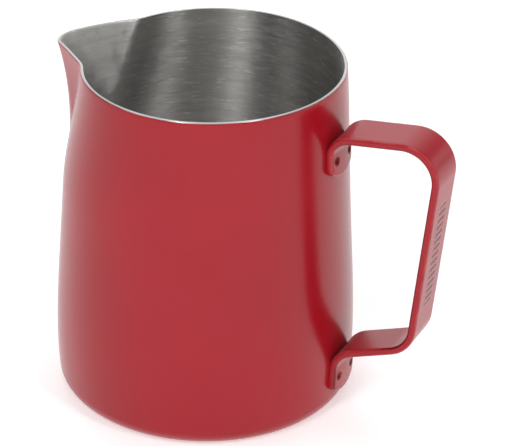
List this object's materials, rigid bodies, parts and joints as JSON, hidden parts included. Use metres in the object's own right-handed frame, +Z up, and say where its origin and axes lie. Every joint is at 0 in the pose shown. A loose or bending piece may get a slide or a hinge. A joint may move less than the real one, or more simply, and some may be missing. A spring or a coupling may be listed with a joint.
{
  "type": "milk frothing pitcher",
  "caption": "Open steel jug with a pressed pouring spout, a coloured coating outside, a bare brushed inside, and a bent flat strap handle welded on through a tab at each end.",
  "frame": {"origin": "centre of the flat base, on the body's vertical axis", "axes": "+Z up the body's axis, +X towards the handle, -X towards the spout, +Y across the handle"},
  "size_m": [0.126, 0.0912, 0.106],
  "materials": {
    "body_steel": "drawn stainless steel, brushed round the inside, polished at the rim",
    "body_coat": "satin powder coating, deep red",
    "strap_steel": "bent steel strip under the coating",
    "handle_coat": "satin powder coating, deep red",
    "weld_steel": "resistance weld metal"
  },
  "bodies": {
    "root": {"body_shell": "body_steel", "body_coating": "body_coat", "handle_strap": "strap_steel", "handle_coating": "handle_coat", "weld_nugget_upper_left": "weld_steel", "weld_nugget_upper_right": "weld_steel", "weld_nugget_lower_left": "weld_steel", "weld_nugget_lower_right": "weld_steel"}
  },
  "joints": []
}
